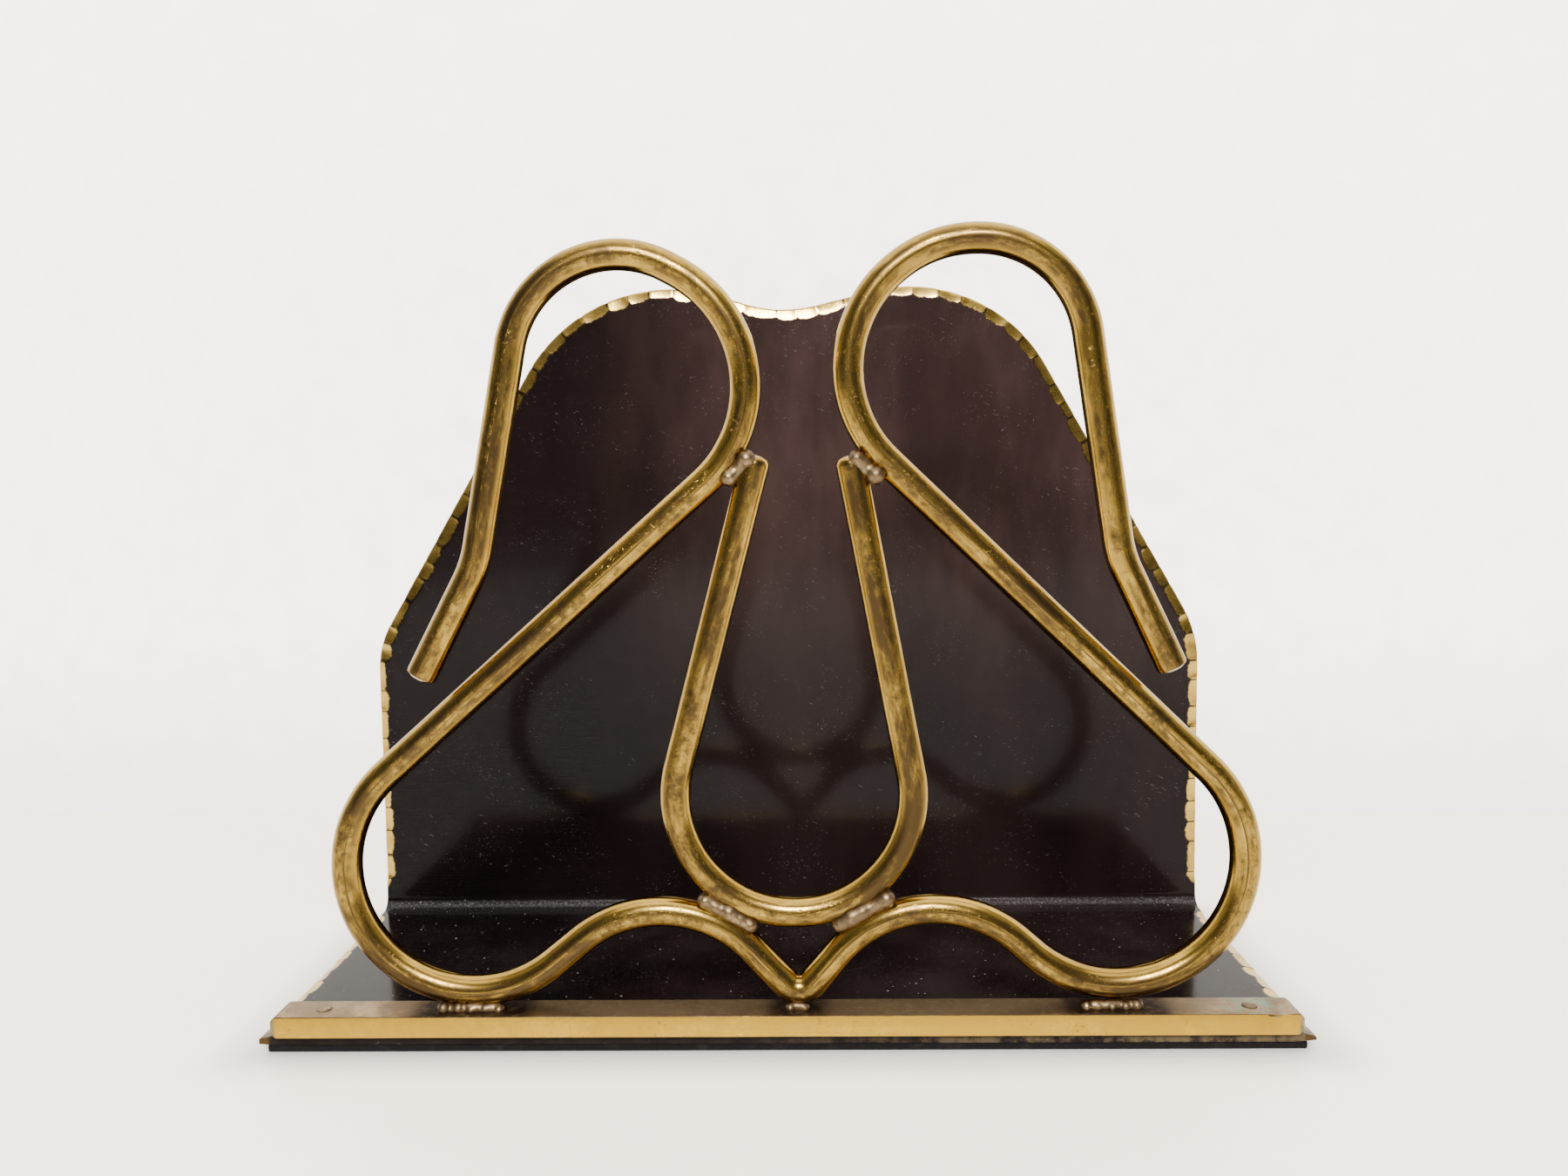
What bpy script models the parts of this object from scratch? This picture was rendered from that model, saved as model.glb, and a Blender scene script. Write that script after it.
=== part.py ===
"""Desk magazine rack: a bent brass sheet with a rail and a front of bent rod.

Frame: metres, +Z up, +X to the viewer's right, the front faces -Y. The origin is at the
centre of the footprint, on the surface that the rack stands on. The rack has no moving part.
"""
import math

import bmesh
import bpy
from mathutils import Vector

MM = 0.001

# Driving dimensions, in millimetres.
WIDTH = 170.0            # base and back plate, across
PLATE_FRONT = 62.0       # front edge of the base to the front face of the back plate
SHEET = 1.6              # sheet thickness
BEND_RADIUS = 2.5        # inside the bend between base and plate
NOSING = 1.2             # the rail stands this far in front of the base
RAIL_DEPTH = 6.7
RAIL_HEIGHT = 3.3
RAIL_INSET = 1.8         # base side edge to the end of the rail
PAD = 1.0                # felt pad thickness
PAD_INSET = 1.2          # base side edge to the edge of the pad
PAD_FRONT_INSET = 0.3    # the pad is almost flush with the front of the base
ROD = 5.0                # rod diameter
ROD_SETBACK = 3.0        # front edge of the base to the plane of the rods
RIVET = 2.4              # rivet shank diameter
RIVET_X = 75.0
RIVET_SETBACK = 2.1      # front edge of the base to the rivets
GAP = 0.3                # left between pieces that touch

# Places that follow from them.
DEPTH = NOSING + PLATE_FRONT + SHEET
BASE_FRONT_Y = NOSING - DEPTH / 2
PLATE_Y = DEPTH / 2 - SHEET
BASE_TOP_Z = PAD + GAP + SHEET
RAIL_BOTTOM_Z = BASE_TOP_Z + GAP
RAIL_TOP_Z = RAIL_BOTTOM_Z + RAIL_HEIGHT
RAIL_MIDDLE_Y = -DEPTH / 2 + RAIL_DEPTH / 2
ROD_Y = BASE_FRONT_Y + ROD_SETBACK
RIVET_Y = BASE_FRONT_Y + RIVET_SETBACK

LEFT, RIGHT = 1, -1      # which way a bend turns, seen from the front

# A rod is bent round pins on a jig: each pin is (x, z, radius of the rod's centre line, turn).
# It runs straight from one pin to the next.
SCROLL_ENDS = ((-57.6, 60.7), (62.4, 61.1))
SCROLL_PINS = (
    (-67.2, 85.4, 20.0, LEFT),      # kick-out of the left leg
    (-24.8, 109.7, 17.2, RIGHT),    # left top loop
    (-25.0, 106.4, 20.2, RIGHT),
    (-50.1, 29.8, 20.5, LEFT),      # left lower loop
    (-19.7, 2.1, 20.2, RIGHT),      # left hump
    (2.6, 12.2, 2.9, LEFT),         # the V
    (24.4, 2.2, 20.2, RIGHT),       # right hump
    (53.8, 30.5, 20.5, LEFT),       # right lower loop
    (31.2, 108.7, 19.9, RIGHT),     # right top loop
    (31.6, 111.4, 17.2, RIGHT),
    (71.4, 84.5, 18.2, LEFT),       # kick-out of the right leg
)
TONGUE_ENDS = ((-3.2, 95.6), (11.4, 95.4))
TONGUE_PINS = ((2.1, 41.1, 19.1, LEFT),)

# The back plate's outline is drawn the same way: two shoulders, two lobes and the dip.
OUTLINE_PINS = (
    (-66.6, 53.8, 18.4, RIGHT),
    (-23.0, 97.0, 34.1, RIGHT),
    (0.6, 153.9, 27.2, LEFT),
    (25.5, 98.7, 32.3, RIGHT),
    (60.8, 53.3, 24.2, RIGHT),
)

# Brazed joints: name, centre (x, y, z), half sizes (x, y, z), turn about Y in degrees.
FRONT_OF_RODS_Y = ROD_Y - 2.0
BRAZE_TOP_Z = RAIL_TOP_Z + 0.7
BRAZE_JOINTS = (
    ("braze_tongue_top_left", (-6.2, FRONT_OF_RODS_Y, 93.6), (2.4, 1.6, 3.4), 15),
    ("braze_tongue_top_right", (13.9, FRONT_OF_RODS_Y, 93.4), (2.4, 1.6, 3.4), -15),
    ("braze_tongue_foot_left", (-9.3, FRONT_OF_RODS_Y, 22.3), (4.6, 1.6, 2.0), 30),
    ("braze_tongue_foot_right", (13.2, FRONT_OF_RODS_Y, 22.2), (4.6, 1.6, 2.0), -30),
    ("braze_rail_left", (-50.3, FRONT_OF_RODS_Y, BRAZE_TOP_Z), (8.0, 2.0, 1.9), 0),
    ("braze_rail_centre", (2.4, FRONT_OF_RODS_Y, BRAZE_TOP_Z), (3.2, 2.0, 1.9), 0),
    ("braze_rail_right", (53.6, FRONT_OF_RODS_Y, BRAZE_TOP_Z), (6.8, 2.0, 1.9), 0),
)


def clear_scene():
    for obj in list(bpy.data.objects):
        bpy.data.objects.remove(obj, do_unlink=True)


def collection(name):
    group = bpy.data.collections.new(name)
    bpy.context.scene.collection.children.link(group)
    return group


def material(name, colour, roughness, metallic):
    mat = bpy.data.materials.new(name)
    mat.use_nodes = True
    shader = mat.node_tree.nodes["Principled BSDF"]
    shader.inputs["Base Color"].default_value = (*colour, 1.0)
    shader.inputs["Roughness"].default_value = roughness
    shader.inputs["Metallic"].default_value = metallic
    return mat


def place(obj, group, mat=None):
    """Put an object in its collection, and shade it smooth with crisp edges."""
    for old in list(obj.users_collection):
        old.objects.unlink(obj)
    group.objects.link(obj)
    if obj.type == "MESH":
        obj.data.shade_smooth()
        obj.data.set_sharp_from_angle(angle=math.radians(35))
    if mat:
        obj.data.materials.clear()
        obj.data.materials.append(mat)
    return obj


def mark_cutter(obj):
    obj.hide_render = True
    obj.display_type = "WIRE"


def boolean(obj, cutter, operation="DIFFERENCE"):
    mod = obj.modifiers.new(f"{operation.lower()} {cutter.name}", "BOOLEAN")
    mod.operation = operation
    mod.object = cutter


def curve_to_mesh(curve_obj, name, group):
    """Turn a curve object into a closed mesh object with the same place."""
    bpy.context.view_layer.update()
    evaluated = curve_obj.evaluated_get(bpy.context.evaluated_depsgraph_get())
    mesh = bpy.data.meshes.new_from_object(evaluated)
    bm = bmesh.new()
    bm.from_mesh(mesh)
    bmesh.ops.remove_doubles(bm, verts=bm.verts, dist=0.01 * MM)
    bmesh.ops.recalc_face_normals(bm, faces=bm.faces)
    bm.to_mesh(mesh)
    bm.free()
    obj = bpy.data.objects.new(name, mesh)
    obj.matrix_world = curve_obj.matrix_world.copy()
    bpy.data.objects.remove(curve_obj, do_unlink=True)
    return place(obj, group)


def tangent(first, second):
    """The straight run that leaves one pin and meets the next: its two end points."""
    (x1, z1, r1, turn1), (x2, z2, r2, turn2) = first, second
    centre1, centre2 = Vector((x1, z1)), Vector((x2, z2))
    between = centre2 - centre1
    along = between.normalized()
    across = Vector((along.y, -along.x))
    lean = (turn1 * r1 - turn2 * r2) / between.length
    side = lean * along + math.sqrt(1 - lean * lean) * across
    return centre1 + turn1 * r1 * side, centre2 + turn2 * r2 * side


def bent_path(ends, pins, degrees_per_point=9):
    """Points (x, z) in millimetres along straight runs and arcs round the pins."""
    start, end = ((x, z, 0.0, LEFT) for x, z in ends)
    stops = (start, *pins, end)
    runs = [tangent(a, b) for a, b in zip(stops, stops[1:])]
    points = [runs[0][0]]
    for (x, z, radius, turn), arriving, leaving in zip(pins, runs, runs[1:]):
        centre = Vector((x, z))
        first, last = arriving[1] - centre, leaving[0] - centre
        angle = math.atan2(first.y, first.x)
        sweep = (turn * (math.atan2(last.y, last.x) - angle)) % (2 * math.pi)
        steps = max(2, round(math.degrees(sweep) / degrees_per_point))
        for i in range(steps + 1):
            a = angle + turn * sweep * i / steps
            points.append(centre + radius * Vector((math.cos(a), math.sin(a))))
    points.append(runs[-1][1])
    return points


def bent_rod(name, ends, pins, diameter, group, mat=None, sides=12):
    """A round rod along a bent path in the plane of the rods."""
    points = bent_path(ends, pins)
    curve = bpy.data.curves.new(name + "_path", "CURVE")
    curve.dimensions = "3D"
    curve.bevel_depth = diameter / 2 * MM
    curve.bevel_resolution = sides // 2 - 2
    curve.use_fill_caps = True
    curve.render_resolution_u = 0
    spline = curve.splines.new("POLY")
    spline.points.add(len(points) - 1)
    for spot, (x, z) in zip(spline.points, points):
        spot.co = (x * MM, ROD_Y * MM, z * MM, 1.0)
    path = bpy.data.objects.new(name + "_path", curve)
    bpy.context.scene.collection.objects.link(path)
    obj = curve_to_mesh(path, name, group)
    if mat:
        obj.data.materials.append(mat)
    return obj


def block(name, low, high, group, mat=None):
    """A box between two corners, in millimetres."""
    bpy.ops.mesh.primitive_cube_add(size=1.0)
    obj = bpy.context.active_object
    obj.name = name
    low, high = Vector(low), Vector(high)
    for vert in obj.data.vertices:
        vert.co = [vert.co[i] * (high[i] - low[i]) * MM for i in range(3)]
    obj.location = (low + high) / 2 * MM
    return place(obj, group, mat)


def plate_outline(group):
    """A deep prism of the back plate's outline; its lower edges are the base's sides."""
    half = WIDTH / 2
    points = bent_path(((-half, -10.0), (half, -10.0)), OUTLINE_PINS, degrees_per_point=5)
    curve = bpy.data.curves.new("plate_outline_path", "CURVE")
    curve.dimensions = "2D"
    curve.fill_mode = "BOTH"
    curve.extrude = DEPTH * MM
    curve.render_resolution_u = 0
    spline = curve.splines.new("POLY")
    spline.points.add(len(points) - 1)
    spline.use_cyclic_u = True
    for spot, (x, z) in zip(spline.points, points):
        spot.co = (x * MM, z * MM, 0.0, 1.0)
    flat = bpy.data.objects.new("plate_outline_path", curve)
    flat.rotation_euler.x = math.radians(90)
    bpy.context.scene.collection.objects.link(flat)
    prism = curve_to_mesh(flat, "plate_outline", group)
    mark_cutter(prism)
    return prism


def rivet_hole(name, x, group):
    bpy.ops.mesh.primitive_cylinder_add(
        vertices=24, radius=(RIVET / 2 + GAP) * MM, depth=12 * MM,
        location=(x * MM, RIVET_Y * MM, 6 * MM))
    hole = bpy.context.active_object
    hole.name = name
    place(hole, group)
    mark_cutter(hole)
    return hole


def formed_sheet(group, cutters, holes, mat):
    """One sheet bent up at the back: an open surface with thickness, cut to its outline."""
    over = 5.0
    rise = 140.0
    arc_y = PLATE_Y - BEND_RADIUS
    arc_z = BASE_TOP_Z + BEND_RADIUS
    profile = [(BASE_FRONT_Y, BASE_TOP_Z)]
    for i in range(9):
        a = math.radians(-90 + 90 * i / 8)
        profile.append((arc_y + BEND_RADIUS * math.cos(a), arc_z + BEND_RADIUS * math.sin(a)))
    profile.append((PLATE_Y, rise))
    bm = bmesh.new()
    strip = [bm.verts.new(((-WIDTH / 2 - over) * MM, y * MM, z * MM)) for y, z in profile]
    edges = [bm.edges.new(pair) for pair in zip(strip, strip[1:])]
    grown = bmesh.ops.extrude_edge_only(bm, edges=edges)
    new_verts = [item for item in grown["geom"] if isinstance(item, bmesh.types.BMVert)]
    bmesh.ops.translate(bm, verts=new_verts, vec=((WIDTH + 2 * over) * MM, 0, 0))
    bm.normal_update()
    if bm.faces[:][0].normal.z < 0:
        bmesh.ops.reverse_faces(bm, faces=bm.faces)
    mesh = bpy.data.meshes.new("formed_sheet")
    bm.to_mesh(mesh)
    bm.free()
    obj = bpy.data.objects.new("formed_sheet", mesh)
    place(obj, group, mat)
    thick = obj.modifiers.new("sheet thickness", "SOLIDIFY")
    thick.thickness = SHEET * MM
    thick.offset = -1.0
    boolean(obj, plate_outline(cutters), "INTERSECT")
    for hole in holes:
        boolean(obj, hole)
    return obj


def base_rail(group, holes, mat):
    half = WIDTH / 2 - RAIL_INSET
    front = RAIL_MIDDLE_Y - RAIL_DEPTH / 2
    back = RAIL_MIDDLE_Y + RAIL_DEPTH / 2
    rail = block("base_rail", (-half, front, RAIL_BOTTOM_Z), (half, back, RAIL_TOP_Z), group, mat)
    soften = rail.modifiers.new("softened edges", "BEVEL")
    soften.width = 0.4 * MM
    soften.segments = 2
    for hole in holes:
        boolean(rail, hole)
    return rail


def felt_pad(group, mat):
    half = WIDTH / 2 - PAD_INSET
    front = BASE_FRONT_Y + PAD_FRONT_INSET
    back = PLATE_Y - BEND_RADIUS - PAD_INSET
    return block("felt_pad", (-half, front, 0.0), (half, back, PAD), group, mat)


def rivet(name, x, group, mat):
    """A turned pin through rail and sheet with a low domed head, flush underneath."""
    radius = RIVET / 2
    crown = 0.35
    foot_z = PAD + GAP
    head_z = RAIL_TOP_Z
    profile = [(0.0, head_z + crown)]
    profile += [(radius * math.sin(math.radians(a)), head_z + crown * math.cos(math.radians(a)))
                for a in (30, 60, 90)]
    profile += [(radius, foot_z), (0.0, foot_z)]
    mesh = bpy.data.meshes.new(name)
    mesh.from_pydata([(r * MM, 0, z * MM) for r, z in profile],
                     [(i, i + 1) for i in range(len(profile) - 1)], [])
    obj = bpy.data.objects.new(name, mesh)
    place(obj, group, mat)
    turned = obj.modifiers.new("turned", "SCREW")
    turned.steps = turned.render_steps = 20
    turned.use_merge_vertices = True
    turned.merge_threshold = 0.01 * MM
    obj.location = (x * MM, RIVET_Y * MM, 0)
    return obj


def braze_joint(name, centre, half_sizes, turn, neighbours, group, mat):
    """A lump of filler in the front valley of a joint, cut clear of what it joins."""
    bpy.ops.mesh.primitive_uv_sphere_add(segments=20, ring_count=12, radius=1.0)
    lump = bpy.context.active_object
    lump.name = name
    for vert in lump.data.vertices:
        vert.co = [vert.co[i] * half_sizes[i] * MM for i in range(3)]
    lump.location = Vector(centre) * MM
    lump.rotation_euler.y = math.radians(turn)
    place(lump, group, mat)
    for neighbour in neighbours:
        boolean(lump, neighbour)
    return lump


def build():
    clear_scene()
    parts = collection("magazine_rack")
    cutters = collection("cutters")
    lacquer = material("dark_lacquer", (0.030, 0.022, 0.022), 0.18, 0.0)
    brass = material("aged_brass", (0.62, 0.46, 0.22), 0.28, 1.0)
    rail_brass = material("rail_brass", (0.66, 0.49, 0.23), 0.22, 1.0)
    filler = material("braze_filler", (0.60, 0.50, 0.40), 0.38, 1.0)
    felt = material("black_felt", (0.020, 0.020, 0.022), 0.95, 0.0)

    holes = [rivet_hole(f"rivet_hole_{side}", x, cutters)
             for side, x in (("left", -RIVET_X), ("right", RIVET_X))]
    formed_sheet(parts, cutters, holes, lacquer)
    base_rail(parts, holes, rail_brass)
    felt_pad(parts, felt)
    rivet("rail_rivet_left", -RIVET_X, parts, brass)
    rivet("rail_rivet_right", RIVET_X, parts, brass)

    wide = ROD + 2 * GAP
    scroll_room = bent_rod("scroll_room", SCROLL_ENDS, SCROLL_PINS, wide, cutters)
    tongue_room = bent_rod("tongue_room", TONGUE_ENDS, TONGUE_PINS, wide, cutters)
    rail_room = block("rail_room", (-WIDTH, -DEPTH, 0.0), (WIDTH, DEPTH, RAIL_TOP_Z + GAP), cutters)
    for room in (scroll_room, tongue_room, rail_room):
        mark_cutter(room)

    bent_rod("scroll_rod", SCROLL_ENDS, SCROLL_PINS, ROD, parts, brass)
    # The tongue's ends are filed hollow, so that they seat against the top loops.
    tongue = bent_rod("tongue_rod", TONGUE_ENDS, TONGUE_PINS, ROD, parts, brass)
    boolean(tongue, scroll_room)
    for name, centre, half_sizes, turn in BRAZE_JOINTS:
        other = rail_room if "rail" in name else tongue_room
        braze_joint(name, centre, half_sizes, turn, (scroll_room, other), parts, filler)


build()
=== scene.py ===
"""Desk magazine rack: the visible pieces, their finishes and a plain studio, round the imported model."""
import math
from functools import partial

import bmesh
import bpy
from mathutils import Matrix, Vector


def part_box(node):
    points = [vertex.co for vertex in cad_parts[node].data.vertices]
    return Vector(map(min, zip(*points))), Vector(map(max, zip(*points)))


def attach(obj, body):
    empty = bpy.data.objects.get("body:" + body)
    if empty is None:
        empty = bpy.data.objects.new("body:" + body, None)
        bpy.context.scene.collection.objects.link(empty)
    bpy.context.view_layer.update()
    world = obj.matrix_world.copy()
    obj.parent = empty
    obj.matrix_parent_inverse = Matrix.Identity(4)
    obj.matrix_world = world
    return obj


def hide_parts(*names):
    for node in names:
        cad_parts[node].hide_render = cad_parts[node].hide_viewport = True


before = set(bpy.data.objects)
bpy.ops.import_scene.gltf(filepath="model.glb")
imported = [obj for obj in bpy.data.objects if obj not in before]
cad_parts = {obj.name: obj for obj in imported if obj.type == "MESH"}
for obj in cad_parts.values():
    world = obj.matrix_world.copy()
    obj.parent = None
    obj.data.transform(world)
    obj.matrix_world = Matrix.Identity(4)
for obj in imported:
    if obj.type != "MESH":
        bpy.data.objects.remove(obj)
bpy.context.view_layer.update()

# ------------------------------
# Formed sheet. One piece of 1.6 mm brass sheet, cut out flat, hammered round its edge from the
# front, bent up at the back, then given a near-black glossy lacquer that the blows have left bare.
# It is made the same way here: flat, hammered, then folded. Sizes are in millimetres.
# ------------------------------
MM = 0.001
SHEET = 1.6
BEND = 2.5  # inside radius of the fold
FOLD_STEPS = 10  # rows of faces round the fold
EDGE_STEP = 0.42  # between points along the edge
CORNER_STEP = 3.0  # a square corner has no points nearer than this
BLOW_PITCH = 5.0  # from one hammer blow to the next
BLOW_WIDTH = 2.75  # how far a blow reaches in from the edge
BLOW_SINK = 0.82  # how deep it is at the edge
BACK_SHARE = 0.45  # the anvil marks the back less
BLOW_NOTCH = 0.14  # between two blows the edge stands back
BARE_FROM_FOLD = 5.0  # the blows stop short of the fold
LEFT_BLOWS = 0.80  # the left side was struck more lightly
LACQUER_DEEP = (0.0036, 0.0023, 0.0025, 1)
# The paler lacquer: its streaky clouding, and the painted reflection towards the upper right.
LACQUER_CLOUDED_AND_REFLECTION = (0.043, 0.0250, 0.0230, 1)
BRUSHED_BROWN = (0.020, 0.011, 0.010, 1)
SCRATCH_GREY = (0.16, 0.14, 0.14, 1)
RUBBED_BROWN = (0.115, 0.085, 0.045, 1)
STRUCK_BRASS = (0.76, 0.51, 0.125, 1)
STRUCK_STAINED = (0.52, 0.33, 0.070, 1)
# Dark brown of dirt and painted shade on the struck brass.
DIRT_AND_SHADE = (0.085, 0.052, 0.024, 1)
# Grey of dust, and of the painted highlight line along the fold.
DUST_AND_HIGHLIGHT_GREY = (0.36, 0.34, 0.34, 1)
LEFT, RIGHT = 1, -1  # which way a bend turns, seen from the front

# (distance in from the edge, depth below the front face) of each line of points round the edge
EDGE_RINGS = ((2.9, 0.0), (2.65, 0.0), (2.4, 0.0), (2.15, 0.0), (1.9, 0.0), (1.6, 0.0), (1.3, 0.0),
              (1.0, 0.0), (0.7, 0.0), (0.4, 0.0), (0.15, 0.0), (0.0, 0.12), (0.0, 0.8), (0.0, 1.48),
              (0.15, 1.6), (0.5, 1.6), (1.0, 1.6), (1.5, 1.6), (2.2, 1.6), (2.9, 1.6))

sheet_low, sheet_high = (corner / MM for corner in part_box("formed_sheet"))
half_width = sheet_high.x
base_front = sheet_low.y
base_top = sheet_low.z + SHEET
plate_face = sheet_high.y - SHEET
fold_start = plate_face - BEND - base_front
fold_end = fold_start + BEND * math.pi / 2
fold_top = base_top + BEND

# The plate's outline runs round these pins: (x, height, radius, turn).
OUTLINE_PINS = (
    (-66.6, 53.8, 18.4, RIGHT),
    (-23.0, 97.0, 34.1, RIGHT),
    (0.6, 153.9, 27.2, LEFT),
    (25.5, 98.7, 32.3, RIGHT),
    (60.8, 53.3, 24.2, RIGHT),
)


def tangent(first, second):
    """The straight run that leaves one pin and meets the next: its two end points."""
    (x1, z1, r1, turn1), (x2, z2, r2, turn2) = first, second
    centre1, centre2 = Vector((x1, z1)), Vector((x2, z2))
    between = centre2 - centre1
    along = between.normalized()
    across = Vector((along.y, -along.x))
    lean = (turn1 * r1 - turn2 * r2) / between.length
    side = lean * along + math.sqrt(1 - lean * lean) * across
    return centre1 + turn1 * r1 * side, centre2 + turn2 * r2 * side


def bent_path(ends, pins, step):
    """Points about every step along the straight runs and the arcs round the pins."""
    start, end = ((x, z, 0.0, LEFT) for x, z in ends)
    stops = (start, *pins, end)
    runs = [tangent(a, b) for a, b in zip(stops, stops[1:])]
    points = [runs[0][0]]

    def straight(first, last):
        count = max(1, round((last - first).length / step))
        points.extend(first.lerp(last, i / count) for i in range(1, count + 1))

    for (x, z, radius, turn), arriving, leaving in zip(pins, runs, runs[1:]):
        straight(*arriving)
        centre = Vector((x, z))
        first, last = arriving[1] - centre, leaving[0] - centre
        angle = math.atan2(first.y, first.x)
        sweep = (turn * (math.atan2(last.y, last.x) - angle)) % (2 * math.pi)
        count = max(1, round(radius * sweep / step))
        for i in range(1, count + 1):
            a = angle + turn * sweep * i / count
            points.append(centre + radius * Vector((math.cos(a), math.sin(a))))
    straight(*runs[-1])
    return points


def put(tree, kind, inputs=None, **settings):
    """Add a node. A socket given as an input's value is linked to it."""
    node = tree.nodes.new(kind)
    for key, value in settings.items():
        setattr(node, key, value)
    for key, value in (inputs or {}).items():
        if isinstance(value, bpy.types.NodeSocket):
            tree.links.new(value, node.inputs[key])
        else:
            node.inputs[key].default_value = value
    return node


def calc(operation, *values, kind="ShaderNodeMath"):
    """The result of a Math node, in the tree that its first linked value is in."""
    tree = next(value for value in values if isinstance(value, bpy.types.NodeSocket)).id_data
    return put(tree, kind, dict(enumerate(values)), operation=operation).outputs[0]


times, times_plus, plus, minus, divided, larger, smaller, power = (
    partial(calc, operation) for operation in
    ("MULTIPLY", "MULTIPLY_ADD", "ADD", "SUBTRACT", "DIVIDE", "MAXIMUM", "MINIMUM", "POWER"))
calc_vector = partial(calc, kind="ShaderNodeVectorMath")


def scaled(vector, factor):
    """A vector made longer or shorter."""
    return put(vector.id_data, "ShaderNodeVectorMath", {0: vector, "Scale": factor},
               operation="SCALE").outputs[0]


def parts(vector):
    """The X, Y and Z of a vector."""
    return put(vector.id_data, "ShaderNodeSeparateXYZ", {0: vector}).outputs


def eased(value, low, high, to_low=0.0, to_high=1.0):
    """A smooth step: to_low up to low, to_high from high on."""
    return put(value.id_data, "ShaderNodeMapRange", {0: value, 1: low, 2: high, 3: to_low, 4: to_high},
               interpolation_type="SMOOTHSTEP").outputs[0]


def new_tree(name, kind, inputs, outputs):
    """A node group with named inputs (name, kind, value) and outputs (name, kind)."""
    tree = bpy.data.node_groups.new(name, kind)
    for label, socket_kind, value in inputs:
        socket = tree.interface.new_socket(label, in_out="INPUT", socket_type="NodeSocket" + socket_kind)
        if value is not None:
            socket.default_value = value
    for label, socket_kind in outputs:
        tree.interface.new_socket(label, in_out="OUTPUT", socket_type="NodeSocket" + socket_kind)
    return tree, put(tree, "NodeGroupInput").outputs, put(tree, "NodeGroupOutput")


def stored(tree, name, kind="FLOAT"):
    """A named value of each point."""
    node = put(tree, "GeometryNodeInputNamedAttribute", {"Name": name}, data_type=kind)
    return next(out for out in node.outputs if out.name == "Attribute" and out.enabled)


def keep(geometry, name, value):
    """Store a number at each point under a name."""
    tree = geometry.id_data
    node = put(tree, "GeometryNodeStoreNamedAttribute", {"Geometry": geometry, "Name": name},
               data_type="FLOAT", domain="POINT")
    tree.links.new(value, next(i for i in node.inputs if i.name == "Value" and i.enabled))
    return node.outputs[0]


def random_share(low, high, number, seed):
    """A random number from low to high, the same for the same number and seed."""
    tree = number.id_data
    node = put(tree, "FunctionNodeRandomValue", data_type="FLOAT")
    sockets = {i.identifier: i for i in node.inputs}
    sockets["Min_001"].default_value = low
    sockets["Max_001"].default_value = high
    tree.links.new(number, sockets["ID"])
    tree.links.new(seed, sockets["Seed"])
    return next(out for out in node.outputs if out.enabled)


def finished_tree(geometry, finish, result):
    """End a tree: made real, with its material on."""
    tree = geometry.id_data
    real = put(tree, "GeometryNodeRealizeInstances", {0: geometry}).outputs[0]
    dressed = put(tree, "GeometryNodeSetMaterial", {"Geometry": real, "Material": finish})
    tree.links.new(dressed.outputs[0], result.inputs[0])
    return tree


def hammered_edge_tree():
    """Sinks a row of hammer blows into the edge of a flat sheet that lies in XY with its front up."""
    tree, given, result = new_tree(
        "hammered edge", "GeometryNodeTree",
        (("Sheet", "Geometry", None), ("Pitch", "Float", 1.0), ("Width", "Float", 1.0),
         ("Sink", "Float", 1.0), ("Back Share", "Float", 0.5),
         ("Notch", "Float", 0.1), ("Seed", "Int", 0), ("Finish", "Material", None)),
        (("Sheet", "Geometry"),))
    along, inward = stored(tree, "along"), stored(tree, "inward")
    struck, through = stored(tree, "struck"), stored(tree, "through")
    drift = put(tree, "ShaderNodeTexNoise", {"W": along, "Scale": 0.11, "Detail": 1.0},
                noise_dimensions="1D").outputs[0]
    uneven = times_plus(drift, 5.0, along)
    count = divided(uneven, given["Pitch"])
    number = calc("FLOOR", count)
    across = calc("ABSOLUTE", times_plus(calc("FRACT", count), 2.0, -1.0))
    hollow = times_plus(power(across, 3.0), -0.22, 1.0)
    second_seed = plus(given["Seed"], 1.0)
    wide = times(random_share(0.72, 1.0, number, given["Seed"]), given["Width"])
    reach = times(times(wide, struck), hollow)
    share = divided(inward, larger(reach, 0.01))
    fall = power(larger(minus(1.0, share), 0.0), 1.25)
    cupped = times_plus(times(across, across), -0.34, 1.0)
    deep = times(random_share(0.65, 1.0, number, second_seed), cupped)
    sink = times(times(fall, deep), times(given["Sink"], struck))
    back = times(sink, given["Back Share"])
    front_part = times(sink, minus(1.0, through))
    lowered = minus(times(back, through), front_part)
    notch = times(power(across, 6.0), times(given["Notch"], struck))
    near_edge = eased(inward, 0.0, 2.6, 1.0, 0.0)
    pushed = scaled(stored(tree, "inward_way", "FLOAT_VECTOR"), times(notch, near_edge))
    drop = put(tree, "ShaderNodeCombineXYZ", {"Z": lowered}).outputs[0]
    moved = put(tree, "GeometryNodeSetPosition",
                {"Geometry": given["Sheet"], "Offset": calc_vector("ADD", pushed, drop)})
    marked = keep(moved.outputs[0], "blow", count)
    marked = keep(marked, "reach", wide)
    return finished_tree(marked, given["Finish"], result)


def grow(bench, tree, values):
    """Run a Geometry Nodes tree on a bench object with the values of its named inputs."""
    maker = bench.modifiers.new(tree.name, "NODES")
    maker.node_group = tree
    for item in tree.interface.items_tree:
        if item.item_type == "SOCKET" and item.in_out == "INPUT" and item.name in values:
            maker[item.identifier] = values[item.name]


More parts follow.
